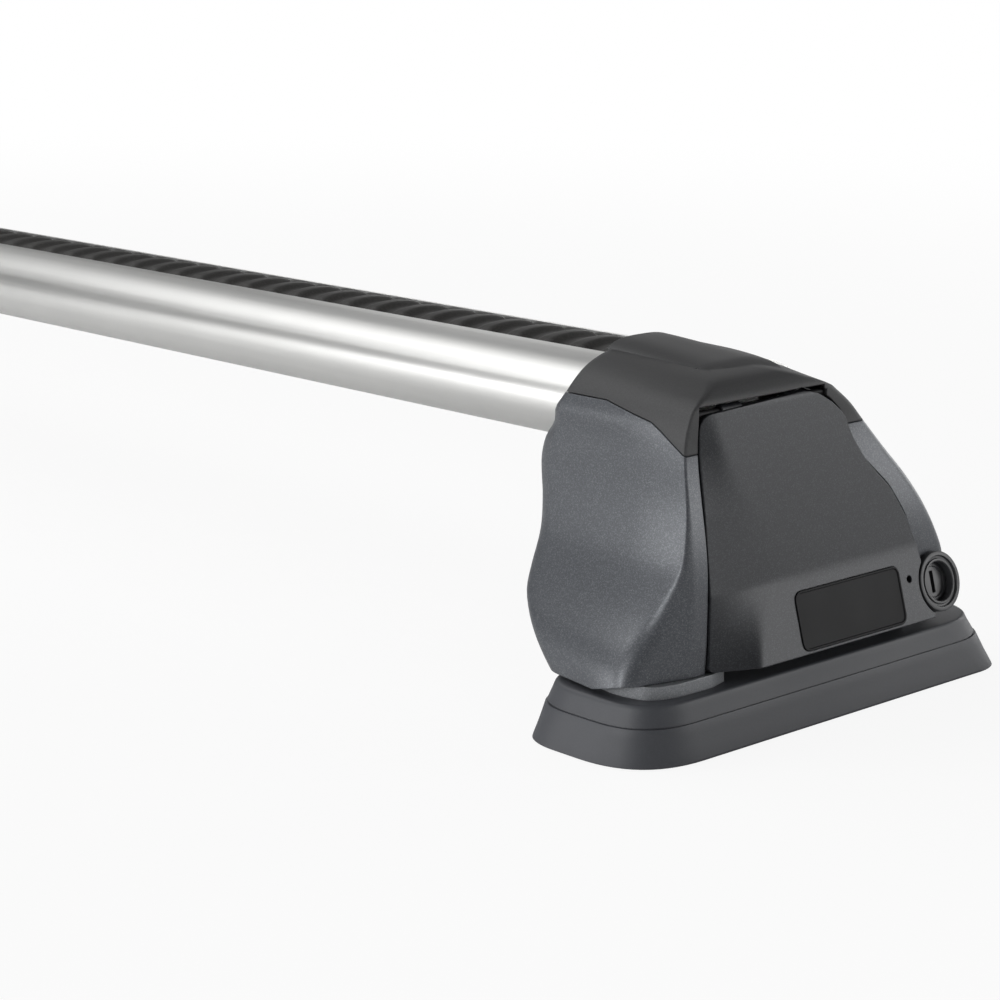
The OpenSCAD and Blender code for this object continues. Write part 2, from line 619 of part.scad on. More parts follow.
crossbar();
top_strip();
lower_strip();
right() housing();  // housing_right
right() top_cap();  // top_cap_right
right() base_casting();  // base_casting_right
right() base_pad();  // base_pad_right
right() saddle_pad();  // saddle_pad_right
right() swung() door();  // door_right
right() swung() door_plate();  // door_plate_right
right() hinge_pin();  // hinge_pin_right
right() lock_collar();  // lock_collar_right
right() lock_barrel();  // lock_barrel_right
right() lock_pawl();  // lock_pawl_right
right() pawl_screw();  // pawl_screw_right
right() bar_bolts();  // bar_bolts_right
right() bar_nuts();  // bar_nuts_right
right() bolt_washers();  // bolt_washers_right
right() housing_screws();  // housing_screws_right
left() housing();  // housing_left
left() top_cap();  // top_cap_left
left() base_casting();  // base_casting_left
left() base_pad();  // base_pad_left
left() saddle_pad();  // saddle_pad_left
left() swung() door();  // door_left
left() swung() door_plate();  // door_plate_left
left() hinge_pin();  // hinge_pin_left
left() lock_collar();  // lock_collar_left
left() lock_barrel();  // lock_barrel_left
left() lock_pawl();  // lock_pawl_left
left() pawl_screw();  // pawl_screw_left
left() bar_bolts();  // bar_bolts_left
left() bar_nuts();  // bar_nuts_left
left() bolt_washers();  // bolt_washers_left
left() housing_screws();  // housing_screws_left
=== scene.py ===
import math

import bmesh
import bpy
from mathutils import Matrix, Vector


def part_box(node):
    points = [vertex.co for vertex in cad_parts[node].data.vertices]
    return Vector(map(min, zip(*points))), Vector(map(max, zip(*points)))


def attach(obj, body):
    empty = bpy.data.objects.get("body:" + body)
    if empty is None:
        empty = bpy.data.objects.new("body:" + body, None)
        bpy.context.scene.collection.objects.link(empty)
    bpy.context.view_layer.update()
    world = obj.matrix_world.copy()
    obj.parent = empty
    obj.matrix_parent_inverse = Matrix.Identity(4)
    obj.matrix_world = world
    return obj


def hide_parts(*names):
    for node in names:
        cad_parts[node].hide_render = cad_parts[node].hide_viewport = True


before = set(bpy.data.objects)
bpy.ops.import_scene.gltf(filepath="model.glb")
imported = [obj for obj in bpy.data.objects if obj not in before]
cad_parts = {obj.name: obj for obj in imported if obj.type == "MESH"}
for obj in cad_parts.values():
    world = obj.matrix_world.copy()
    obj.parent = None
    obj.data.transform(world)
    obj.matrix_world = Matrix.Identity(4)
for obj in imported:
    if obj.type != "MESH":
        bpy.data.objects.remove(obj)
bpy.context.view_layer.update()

# Studio: a pale floor that fades to white, a surround that is white to the camera, and a ring of soft
# lamps round the right leg. A small low lamp draws the light band on the leg's near wall. The camera is
# the one solved from the photograph, off the leg's outer near corner.
CAMERA_AT = (1.1068, -0.60285, 0.2544)
CAMERA_AZIMUTH = 47.85
CAMERA_ELEVATION = 13.19
CAMERA_ROLL = -0.18
CAMERA_LENS = 93.1
CLIP_NEAR, CLIP_FAR = 0.05, 50
SURROUND = 0.12
LEG_CENTRE = Vector((0.58, 0.0, 0.07))
LAMP_DISTANCE = 2.4
WIDE, NARROW = 1.1, 0.55
# Azimuth and elevation in degrees, side in metres, power in watts
LAMPS = (
    (45, 6, WIDE, 23),
    (90, 12, WIDE, 12.4),
    (135, 12, WIDE, 5),
    (180, 45, WIDE, 7.7),
    (233, 4, NARROW, 10.5),
    (225, 45, WIDE, 13.7),
    (270, 12, WIDE, 24))
FLOOR_RADIUS = 14
FLOOR_DROP = 0.0003
FLOOR_GLOW = 0.9
FADE_FROM, FADE_TO = 0.5, 1.7


class Wire:
    """A value in a material. Arithmetic on it adds Math nodes."""

    def __init__(self, finish, socket):
        self.finish = finish
        self.socket = socket

    def math(self, operation, a, b):
        return self.finish.add("Math", {"operation": operation}, {0: a, 1: b})

    def __add__(self, other):
        return self.math("ADD", self, other)

    def __radd__(self, other):
        return self.math("ADD", other, self)

    def __mul__(self, other):
        return self.math("MULTIPLY", self, other)

    def between(self, low, high):
        """0 at low, 1 at high, smooth between them."""
        return self.finish.add("MapRange", {"interpolation_type": "SMOOTHSTEP"},
                               {"Value": self, "From Min": low, "From Max": high})


class Finish:
    """A material with one Principled shader, whose varying sockets are given as wires."""

    def __init__(self, name, **sockets):
        self.material = bpy.data.materials.new(name)
        self.material.use_nodes = True
        self.tree = self.material.node_tree
        self.shader = self.tree.nodes["Principled BSDF"]
        self.place = self.add("TexCoord", output="Object")
        self.feed(**sockets)

    def feed(self, **sockets):
        for key, value in sockets.items():
            self.plug(self.shader.inputs[key.replace("_", " ")], value)

    def plug(self, socket, value):
        if isinstance(value, Wire):
            self.tree.links.new(value.socket, socket)
        elif isinstance(value, tuple) and len(value) == 3 and socket.type == "RGBA":
            socket.default_value = (*value, 1)
        else:
            socket.default_value = value

    def add(self, kind, settings=None, sockets=None, output=0):
        node = self.tree.nodes.new("ShaderNode" + kind)
        for key, value in (settings or {}).items():
            setattr(node, key, value)
        for key, value in (sockets or {}).items():
            self.plug(node.inputs[key], value)
        return Wire(self, node.outputs[output])

    def mix(self, factor, a, b):
        return self.add("Mix", {"data_type": "RGBA"}, {0: factor, 6: a, 7: b}, 2)

    def stretched(self, x, y, z):
        return self.add("Mapping", None, {"Vector": self.place, "Scale": (x, y, z)})

    def noise(self, scale, detail, at=None):
        return self.add("TexNoise", None, {"Vector": at or self.place, "Scale": scale, "Detail": detail})

    def cells(self, scale):
        """A random number in each cell of a fine foam of points."""
        colour = self.add("TexVoronoi", None, {"Vector": self.place, "Scale": scale}, "Color")
        return self.add("SeparateColor", None, {0: colour})

    def relief(self, height, depth, edge=0.0):
        """Normals of a relief of this depth in metres, with hard edges worn round to a radius."""
        sockets = {"Height": height, "Distance": depth, "Strength": 1.0}
        if edge:
            sockets["Normal"] = self.add("Bevel", {"samples": 6}, {"Radius": edge})
        return self.add("Bump", None, sockets)


def white_to_camera(tree, strength):
    """The world: weak even light on the object, and white where the camera looks past it."""
    nodes, links = tree.nodes, tree.links
    seen = nodes.new("ShaderNodeBackground")
    lit = nodes["Background"]
    for background in (seen, lit):
        background.inputs[0].default_value = (1, 1, 1, 1)
    lit.inputs[1].default_value = strength
    path = nodes.new("ShaderNodeLightPath")
    blend = nodes.new("ShaderNodeMixShader")
    links.new(path.outputs["Is Camera Ray"], blend.inputs[0])
    links.new(lit.outputs[0], blend.inputs[1])
    links.new(seen.outputs[0], blend.inputs[2])
    links.new(blend.outputs[0], nodes["World Output"].inputs[0])


scene = bpy.context.scene
scene.view_settings.view_transform = "Standard"
world = bpy.data.worlds.new("surround")
world.use_nodes = True
scene.world = world
white_to_camera(world.node_tree, SURROUND)

camera = bpy.data.objects.new("camera", bpy.data.cameras.new("camera"))
scene.collection.objects.link(camera)
camera.data.lens = CAMERA_LENS
camera.data.clip_start = CLIP_NEAR
camera.data.clip_end = CLIP_FAR
heading = Matrix.Rotation(math.radians(CAMERA_AZIMUTH), 3, "Z")
tilt = Matrix.Rotation(math.radians(90 - CAMERA_ELEVATION), 3, "X")
roll = Matrix.Rotation(math.radians(CAMERA_ROLL), 3, "Z")
camera.matrix_world = Matrix.Translation(CAMERA_AT) @ (heading @ tilt @ roll).to_4x4()
scene.camera = camera


def lamp(name, at, towards, size, power):
    """A square soft lamp that faces a point."""
    light = bpy.data.lights.new(name, "AREA")
    light.size = size
    light.energy = power
    holder = bpy.data.objects.new(name, light)
    scene.collection.objects.link(holder)
    holder.location = at
    holder.rotation_mode = "QUATERNION"
    holder.rotation_quaternion = (Vector(towards) - Vector(at)).to_track_quat("-Z", "Y")


for azimuth, elevation, size, power in LAMPS:
    swing = Matrix.Rotation(math.radians(azimuth), 3, "Z")
    rise = Matrix.Rotation(math.radians(-elevation), 3, "Y")
    place = LEG_CENTRE + swing @ rise @ Vector((LAMP_DISTANCE, 0, 0))
    lamp(f"lamp_{azimuth}_{elevation}", place, LEG_CENTRE, size, power)

floor_mesh = bpy.data.meshes.new("floor")
bm = bmesh.new()
bmesh.ops.create_circle(bm, cap_ends=True, segments=96, radius=FLOOR_RADIUS)
bmesh.ops.translate(bm, verts=bm.verts, vec=(0, 0, -FLOOR_DROP))
bm.to_mesh(floor_mesh)
bm.free()
floor = bpy.data.objects.new("floor", floor_mesh)
scene.collection.objects.link(floor)
paper = Finish("floor_paper", Base_Color=(0.93, 0.93, 0.93), Roughness=0.9)
glow = paper.tree.nodes.new("ShaderNodeEmission")
blend = paper.tree.nodes.new("ShaderNodeMixShader")
reach = paper.add("VectorMath", {"operation": "LENGTH"}, {0: paper.place}, "Value")
seen = paper.add("LightPath", output="Is Camera Ray")
paper.plug(blend.inputs[0], (FLOOR_GLOW + reach.between(FADE_FROM, FADE_TO) * (1 - FLOOR_GLOW)) * seen)
paper.tree.links.new(paper.shader.outputs[0], blend.inputs[1])
paper.tree.links.new(glow.outputs[0], blend.inputs[2])
paper.tree.links.new(blend.outputs[0], paper.tree.nodes["Material Output"].inputs[0])
floor_mesh.materials.append(paper.material)

# Crossbar: one length of extruded aluminium, with an aerofoil section, a slot along the top and a nut
# slot underneath. It is satin anodised, with the fine draw lines of the die along it.
MM = 0.001
SMOOTH_ANGLE = 32
BAR_SMOOTH_ANGLE = 24
WELD = 0.002
FLAT_ANGLE = 0.4


def mesh_from(bm, name, finish, smooth=SMOOTH_ANGLE):
    """The bmesh as a mesh with smooth faces and hard edges."""
    mesh = bpy.data.meshes.new(name)
    bm.to_mesh(mesh)
    bm.free()
    mesh.shade_smooth()
    mesh.set_sharp_from_angle(angle=math.radians(smooth))
    mesh.materials.clear()
    mesh.materials.append(finish.material)
    return mesh


def show(name, mesh, slot, body, *nodes):
    """A finished piece: it rides on its body and stands for its nodes."""
    piece = bpy.data.objects.new(name, mesh)
    scene.collection.objects.link(piece)
    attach(piece, body)
    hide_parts(*nodes)


def merged(node):
    """A bmesh of a solid's own form, with its loose triangles joined."""
    bm = bmesh.new()
    bm.from_mesh(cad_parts[node].data)
    bmesh.ops.remove_doubles(bm, verts=bm.verts, dist=WELD * MM)
    bmesh.ops.dissolve_limit(bm, angle_limit=math.radians(FLAT_ANGLE), verts=bm.verts, edges=bm.edges)
    return bm


def extruded(bm):
    """Thickens the whole bmesh, and gives the new vertices, which still lie on the old ones."""
    grown = bmesh.ops.extrude_face_region(bm, geom=bm.faces[:])
    return [item for item in grown["geom"] if isinstance(item, bmesh.types.BMVert)]


anodised = Finish("satin_anodised", Metallic=1.0)
draw_lines = anodised.noise(900, 3, anodised.stretched(0.012, 1, 1))
cloud = anodised.noise(40, 2)
anodised.feed(
    Base_Color=anodised.mix(draw_lines * 0.5 + cloud * 0.5, (0.66, 0.66, 0.65), (0.76, 0.76, 0.745)),
    Roughness=0.34 + draw_lines * 0.1,
    Normal=anodised.relief(draw_lines, 0.012 * MM, 0.3 * MM))
bar = mesh_from(merged("crossbar"), "bar_extrusion", anodised, BAR_SMOOTH_ANGLE)
show("bar_extrusion", bar, "bar_aluminium", "root", "crossbar")

# Top strip: a moulded rubber strip pressed into the bar's top slot. Raised ribs run across it, and fade
# out towards both edges and both ends.
STRIP_HALF = 13.4
STRIP_CROWN = 2.2
STRIP_DEPTH = 4.1
RIB_PITCH = 15
RIB_DEPTH = 1.7
RIB_FADE_SIDE, RIB_FADE_END = 4.5, 3
RIB_STEPS = 14
rubber = Finish("ribbed_rubber")
dust = rubber.noise(1400, 4)
rubber.feed(
    Base_Color=rubber.mix(dust.between(0.35, 0.8), (0.022, 0.021, 0.02), (0.05, 0.048, 0.045)),
    Roughness=0.5 + dust * 0.2,
    Normal=rubber.relief(dust, 0.02 * MM))


def ease(t):
    """0 to 1, smooth at both ends."""
    t = min(1, max(0, t))
    return t * t * (3 - 2 * t)


low, high = (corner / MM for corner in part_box("top_strip"))
length = high.x - low.x
columns = int(length / RIB_PITCH * RIB_STEPS)
bm = bmesh.new()
bmesh.ops.create_grid(bm, x_segments=columns, y_segments=20, size=0.5)
for vert in bm.verts:
    x = vert.co.x * length
    y = vert.co.y * 2 * STRIP_HALF
    wave = abs(((x / RIB_PITCH) % 1) - 0.5) * 2
    side = ease((STRIP_HALF - abs(y)) / RIB_FADE_SIDE)
    crown = STRIP_CROWN * (y / STRIP_HALF) ** 2
    rib = ease((wave - 0.25) / 0.5)
    end = ease((length / 2 - abs(x)) / RIB_FADE_END)
    vert.co = (x, y + low.y + (high.y - low.y) / 2, high.z - crown - (1 - rib * side * end) * RIB_DEPTH)
for vert in extruded(bm):
    vert.co.z = high.z - STRIP_DEPTH
bmesh.ops.recalc_face_normals(bm, faces=bm.faces)
bmesh.ops.scale(bm, vec=(MM, MM, MM), verts=bm.verts)
show("ribbed_strip", mesh_from(bm, "ribbed_strip", rubber, 50), "strip_rubber", "root", "top_strip")

# Underside strip: a plain rubber infill that closes the nut slot between the legs.
show("underside_strip", mesh_from(merged("lower_strip"), "underside_strip", rubber), "strip_rubber", "root",
     "lower_strip")

# Housing: the moulded shell of the leg. It is a tall tapered box with soft corners, a waist above a
# flared foot, and openings for the bar and the door. Its plastic is charcoal with a fine metal fleck.
PAD_X0, PAD_W = 33.7, 56.5
PAD_Y0, PAD_LEN = -69, 175.5
pad_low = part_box("base_pad_right")[0] / MM
LEG_ZERO = Vector((pad_low.x - PAD_X0, pad_low.y - PAD_Y0, 0))
WALL = 2.4
BAR_SLACK = 0.3
BAR_HALF_W, BAR_HALF_H, BAR_ROUND = 33, 15.5, 2.4
INNER_X = ((20, 35.5), (23, 32), (28, 26.3), (33.5, 19.8), (39.5, 13.2), (46, 10.6), (57, 9.2), (68, 7.3),
           (74.5, 5.8), (80, 5.5), (86, 7.3), (90, 10.2), (93.5, 13.4), (97.5, 16.2), (102.5, 19.6),
           (105.5, 20.7), (108, 21.3), (113.4, 21.6))
NEAR_Y = ((20, -62.6), (23, -62), (28, -60.5), (33.5, -57.5), (39.5, -52.8), (46, -48.6), (57, -43.4),
          (68, -40.8), (77, -39.5), (90, -38.8), (97.5, -38), (102.5, -36.5), (105.5, -34.6), (108, -32),
          (110, -28.5), (111.5, -24.5), (112.7, -20), (113.4, -15))
FAR_Y = ((20, 86.5), (23, 86), (42, 83.4), (50, 79.8), (59, 74.4), (66, 69.3), (72.5, 64), (79, 58),
         (86, 51.5), (92.5, 45.8), (97.5, 41.3), (102.5, 37.6), (105.5, 34.6), (108, 31.8), (110, 28.5),
         (111.5, 24.5), (112.7, 20), (113.4, 15))
RAKE_Y = ((20, 83.5), (23, 83), (42, 80.4), (50, 76.6), (59, 71), (66, 66), (72.5, 60.8), (79, 55),
          (86, 48.9), (92.5, 43), (97.5, 37.9), (102.5, 31), (105.5, 26.6), (108, 21.8), (110, 17),
          (111.5, 12.5), (112.7, 8), (113.4, 4))
OUTER_X = ((20, 80.5), (23, 81.5), (37, 82.2), (59, 81.8), (90, 77.3), (104, 77.5), (107, 77.2), (109, 76.5),
           (110.5, 75.4), (111.5, 74), (112.7, 71), (113.4, 66))
EDGE_Y = ((20, -39.5), (90, -38), (102.5, -35.5), (105.5, -33.4), (108, -30.6), (110, -27), (111.5, -23),
          (112.7, -18.5), (113.4, -13.5))
FLARE_X = ((20, 75.5), (33.5, 76), (46, 79), (59, 81), (90, 77), (104, 77.2), (107, 76.8), (109, 75.8),
           (110.5, 74.4), (111.5, 72.6), (112.7, 69), (113.4, 63.5))
FAR_X = ((20, 77), (59, 76), (72.5, 74), (86, 68), (92.5, 62), (102.5, 50), (113.4, 44))
BEND = ((20, 5), (90, 5), (97.5, 2.5), (102.5, 2.6), (110, 2.4), (113.4, 1))
RIDGE_X = ((20, 65.5), (34, 61), (46, 63), (58, 64.5), (97, 59.5), (113.4, 57))
INNER_SOFT = ((20, 9), (90, 9), (97.5, 4), (113.4, 3))
SKIRT = ((0, 10), (0, 20.4), (62, 20.4), (74, 23.4), (110, 23.4), (110, 10))
SEAM = ((-20, 102.6), (21.7, 102.6), (40.4, 102.9), (53.7, 100.7), (62, 99.4), (66.5, 97.4), (78.4, 90.5),
        (100, 89.4), (100, 130), (-20, 130))
BAR_Z = 97.5
DOOR_FOOT = 24
DOOR_EDGE = ((-32.5, DOOR_FOOT), (-32.5, 102.6), (15, 104.4), (20.5, 102.7), (26, 99.6), (31.8, 94.9),
             (35, 87.5), (41, 79), (52.5, 68.2), (59, 58.5), (64, 47.7), (67.4, DOOR_FOOT))
DOOR_SOFT = (1.5, 5, 6, 1, 1, 2, 2, 2, 2, 2, 1, 1)
DOOR_GAP = 0.6
LOCK_AT = Vector((87, 73, 34.6))
LEAN = math.radians(15.5)
COLLAR_R = 10
COLLAR_LAND, COLLAR_NOTCH = 0.6, 1.3
LOCK_FRAME = Matrix.Translation(LOCK_AT) @ Matrix.Rotation(-LEAN, 4, "Y")
HINGE = (75.5, 102.7)
QUARTER = math.pi / 2


def through(table, z):
    """A smooth curve through a table of heights and values."""
    last = len(table) - 1
    i = max(0, min(last - 1, sum(z > key for key, _ in table) - 1))

    def slope(k):
        a, b = max(0, k - 1), min(last, k + 1)
        return (table[b][1] - table[a][1]) / (table[b][0] - table[a][0])

    (z0, v0), (z1, v1) = table[i], table[i + 1]
    step = z1 - z0
    t = min(1, max(0, (z - z0) / step))
    bow0 = t * (1 - t) ** 2 * step * slope(i)
    bow1 = t * t * (t - 1) * step * slope(i + 1)
    return v0 + (v1 - v0) * ease(t) + bow0 + bow1


def rounded(points, soft, steps):
    """A closed outline whose corners are blended over a set-back on both sides."""
    points = [Vector(p) for p in points]
    out = []
    for i, corner in enumerate(points):
        before, after = points[i - 1], points[(i + 1) % len(points)]
        reach = min(soft[i], (before - corner).length * 0.49, (after - corner).length * 0.49)
        start = corner + (before - corner).normalized() * reach
        stop = corner + (after - corner).normalized() * reach
        for k in range(steps + 1):
            u = k / steps
            out.append(start * (1 - u) ** 2 + corner * 2 * u * (1 - u) + stop * u * u)
    return out


def grown_by(points, gap):
    """A clockwise outline with each side moved outwards."""
    points = [Vector(p) for p in points]
    out = []
    for i, corner in enumerate(points):
        a = (corner - points[i - 1]).normalized()
        b = (points[(i + 1) % len(points)] - corner).normalized()
        m, n = Vector((-a.y, a.x)), Vector((-b.y, b.x))
        out.append(corner + (m + n) * gap / (1 + m.dot(n)))
    return out


def leg_section(z, inset=0.0):
    """The leg's plan section at a height, with its walls moved in."""
    x0 = through(INNER_X, z) + inset
    x1 = through(OUTER_X, z) - inset
    y0 = through(NEAR_Y, z) + inset
    y1 = through(FAR_Y, z) - inset
    turn = through(BEND, z)
    flare = through(FLARE_X, z) - inset
    far = through(FAR_X, z) - inset / 2
    soft = through(INNER_SOFT, z)
    corners = ((x1, through(EDGE_Y, z) + inset / 2), (flare, y0), (min(through(RIDGE_X, z), flare - 4), y0),
               (x0, y0 + turn), (x0 - 2.5, (y0 + y1) / 2), (x0, y1 - turn), (far, y1),
               (x1, through(RAKE_Y, z) - inset))
    return rounded(corners, (1.2, 7, 8, soft, 20, soft + 3, 9, 3), 8)


def lofted(rings, closed):
    """A skin through rings of points: a grid bent round, joined end to end where it is closed."""
    around, up = len(rings[0]), len(rings)
    bm = bmesh.new()
    bmesh.ops.create_grid(bm, x_segments=around, y_segments=up if closed else up - 1, size=0.5)
    for vert in bm.verts:
        i = round((vert.co.x + 0.5) * around) % around
        k = round((vert.co.y + 0.5) * (up if closed else up - 1)) % up
        vert.co = rings[k][i]
    bmesh.ops.remove_doubles(bm, verts=bm.verts, dist=0.0005)
    if not closed:
        bmesh.ops.holes_fill(bm, edges=bm.edges, sides=0)
    bmesh.ops.recalc_face_normals(bm, faces=bm.faces)
    return bm


def prism(outline, along, start, stop):
    """A straight solid whose outline is drawn across the axis that it runs along."""
    bm = bmesh.new()
    spread = {"x": lambda p: (start, p[0], p[1]), "y": lambda p: (p[0], start, p[1])}[along]
    bm.faces.new([bm.verts.new(spread(p)) for p in outline])
    bmesh.ops.remove_doubles(bm, verts=bm.verts, dist=0.0005)
    shift = {"x": (stop - start, 0, 0), "y": (0, stop - start, 0)}[along]
    bmesh.ops.translate(bm, vec=shift, verts=extruded(bm))
    bmesh.ops.recalc_face_normals(bm, faces=bm.faces)
    return bm


def cylinder(radius, length, place):
    """A cylinder whose axis is the Z axis of the place given, centred on it."""
    bm = bmesh.new()
    bmesh.ops.create_cone(bm, cap_ends=True, segments=64, radius1=radius, radius2=radius, depth=length)
    bmesh.ops.transform(bm, matrix=place, verts=bm.verts)
    return bm


def rod(radius, start, stop):
    """A cylinder on the lock's axis, between two depths behind the collar's face."""
    sink = Matrix.Translation((-(start + stop) / 2, 0, 0)) @ Matrix.Rotation(QUARTER, 4, "Y")
    return cylinder(radius, stop - start, LOCK_FRAME @ sink)


def hinge_rod(radius, start, stop):
    """A cylinder on the door's hinge."""
    middle = Matrix.Translation((HINGE[0], (start + stop) / 2, HINGE[1]))
    return cylinder(radius, stop - start, middle @ Matrix.Rotation(QUARTER, 4, "X"))


def box(x0, x1, y0, y1, z0, z1):
    """A plain block."""
    return prism(((x0, z0), (x0, z1), (x1, z1), (x1, z0)), "y", y0, y1)


def solid(bm, name):
    """A working object for cuts."""
    mesh = bpy.data.meshes.new(name)
    bm.to_mesh(mesh)
    bm.free()
    block = bpy.data.objects.new(name, mesh)
    scene.collection.objects.link(block)
    return block


def carved(bm, *steps):
    """The solid after a chain of exact cuts, each a pair of operation and cutter."""
    block = solid(bm, "blank")
    cutters = []
    for operation, cutter in steps:
        modifier = block.modifiers.new("cut", "BOOLEAN")
        modifier.solver = "EXACT"
        modifier.operation = operation
        cutters.append(solid(cutter, "cutter"))
        modifier.object = cutters[-1]
    bpy.context.view_layer.update()
    done = block.evaluated_get(bpy.context.evaluated_depsgraph_get())
    bm = bmesh.new()
    bm.from_mesh(done.to_mesh())
    done.to_mesh_clear()
    for item in (block, *cutters):
        mesh = item.data
        bpy.data.objects.remove(item)
        bpy.data.meshes.remove(mesh)
    bmesh.ops.remove_doubles(bm, verts=bm.verts, dist=0.01)
    bmesh.ops.dissolve_degenerate(bm, edges=bm.edges, dist=0.005)
    return bm


def ridden(body, side):
    """The body that a piece of one leg rides on."""
    return body if body == "root" else f"{body}_{side}_body"


def on_both_legs(name, bm, finish, slot, node, body="root", smooth=SMOOTH_ANGLE):
    """The right leg's piece and its mirror image on the left leg."""
    bmesh.ops.translate(bm, vec=LEG_ZERO, verts=bm.verts)
    bmesh.ops.scale(bm, vec=(MM, MM, MM), verts=bm.verts)
    other = bm.copy()
    bmesh.ops.scale(other, vec=(-1, 1, 1), verts=other.verts)
    bmesh.ops.reverse_faces(other, faces=other.faces)
    for side, shape in (("right", bm), ("left", other)):
        mesh = mesh_from(shape, name, finish, smooth)
        show(f"{name}_{side}", mesh, slot, ridden(body, side), f"{node}_{side}")


def aerofoil(grow, count=96):
    """The bar's section, larger by the same amount all round."""
    out = []
    for i in range(count):
        turn = 2 * math.pi * i / count
        c, s = math.cos(turn), math.sin(turn)
        out.append(((BAR_HALF_W + grow) * math.copysign(abs(c) ** (2 / BAR_ROUND), c),
                    BAR_Z + (BAR_HALF_H + grow) * math.copysign(abs(s) ** (2 / BAR_ROUND), s)))
    return out


def door_opening():
    """The hole for the door, with a round land kept for the lock."""
    outline = rounded(grown_by(DOOR_EDGE, DOOR_GAP), DOOR_SOFT, 6)
    hole = prism(outline, "x", 64, 100)
    raised = prism([(p.x, p.y + DOOR_GAP) for p in outline], "x", 64, 100)
    foot = prism(((-33.1, 15), (-33.1, 27), (65.9, 27), (65.9, 15)), "x", 64, 100)
    land = rod(COLLAR_R + COLLAR_LAND, -20, 40)
    return carved(hole, ("UNION", raised), ("UNION", foot), ("DIFFERENCE", land))


def flecked(name, dark, light, fleck, rough):
    """Moulded plastic with a satin skin, a fine spark texture and a metal fleck in it."""
    finish = Finish(name, Metallic=0.25)
    spark = finish.noise(2400, 2)
    tone = finish.noise(16, 2)
    flake = finish.cells(3600).between(0.62, 1)
    skin = finish.mix(tone * 0.4 + spark.between(0.3, 0.7) * 0.6, dark, light)
    finish.feed(
        Base_Color=finish.mix(flake * 0.5, skin, fleck),
        Roughness=rough + spark * 0.1,
        Normal=finish.relief(spark, 0.02 * MM, 0.45 * MM))
    return finish


charcoal = flecked(
    "charcoal_fleck", (0.0675, 0.072, 0.0805), (0.104, 0.111, 0.1235), (0.21, 0.221, 0.238), 0.33)
FOOT_Z, SHOULDER_Z, STOREYS = 20, 106, 44
SEAM_GAP = 0.4
LOCK_BORE_R = 7.7
ACROSS = (-120, 120)
heights = [FOOT_Z + (SHOULDER_Z - FOOT_Z) * i / STOREYS for i in range(STOREYS + 1)]
rings = [[(p.x, p.y, z) for p in leg_section(z)] for z in heights]
rings += [[(p.x, p.y, z) for p in leg_section(z, WALL)] for z in reversed(heights[::2])]
housing = carved(
    lofted(rings, True),
    ("DIFFERENCE", prism(SKIRT, "y", *ACROSS)),
    ("DIFFERENCE", prism([(x, z - SEAM_GAP) for x, z in SEAM], "y", *ACROSS)),
    ("DIFFERENCE", prism(aerofoil(BAR_SLACK), "x", -30, 60)),
    ("DIFFERENCE", door_opening()),
    ("DIFFERENCE", rod(LOCK_BORE_R, -20, 30)))
on_both_legs("housing_shell", housing, charcoal, "housing_plastic", "housing")

# Top cap: a separate matt moulding over the end of the bar. It has a low crown, a raised arch that
# carries on from the strip, and a pointed tongue down each side of the door.
cap_skin = Finish("matt_cap", Metallic=0.0)
pebble = cap_skin.noise(2200, 3)
cap_skin.feed(
    Base_Color=cap_skin.mix(pebble.between(0.3, 0.7), (0.038, 0.0385, 0.04), (0.052, 0.0525, 0.0545)),
    Roughness=0.52 + pebble * 0.12,
    Normal=cap_skin.relief(pebble, 0.025 * MM, 0.5 * MM))
CAP_WALL = 2
CROWN_AT = Vector((46, 0))
CROWN_Z, CROWN_INSIDE_Z, CROWN_RISE = 113.4, 112.7, 0.5
CROWN_FALL, FALL_FROM_X, FALL_FROM_Z = 0.045, 35, 104
ARCH_LINE = ((20, 116.85), (26, 116.55), (40, 115.4), (55, 114.05), (59.6, 113.55), (62, 112.9), (68, 111))
ARCH_HALF, ARCH_BASE, ARCH_STEP = 14.8, 113.3, 2
ARCH_END_X, ARCH_END_BOW = 60, 0.03
MOUTH_HALF, MOUTH_Z, MOUTH_RISE, MOUTH_STOP_X = 13.9, 112.8, 2.4, 26
NEAR_BLOCK = (72.5, 76.9, -35, -33.4, 100.7, 104)
BOSS_R, BOSS_ROOM_R, TURN_ROOM_R, PIN_HOLE_R = 1.85, 2.2, 3.18, 1.01


def cap_ring(z, inset, shrink=1.0, drop=0.0):
    """One ring of the cap. The crown is drawn in towards its middle and falls towards the outer end."""
    out = []
    for p in leg_section(z, inset):
        q = CROWN_AT + (p - CROWN_AT) * shrink
        fall = CROWN_FALL * (q.x - FALL_FROM_X) * min(1, max(0, (z - FALL_FROM_Z) / 6))
        out.append((q.x, q.y, z - fall + CROWN_RISE * (1 - shrink ** 2) - drop))
    return out


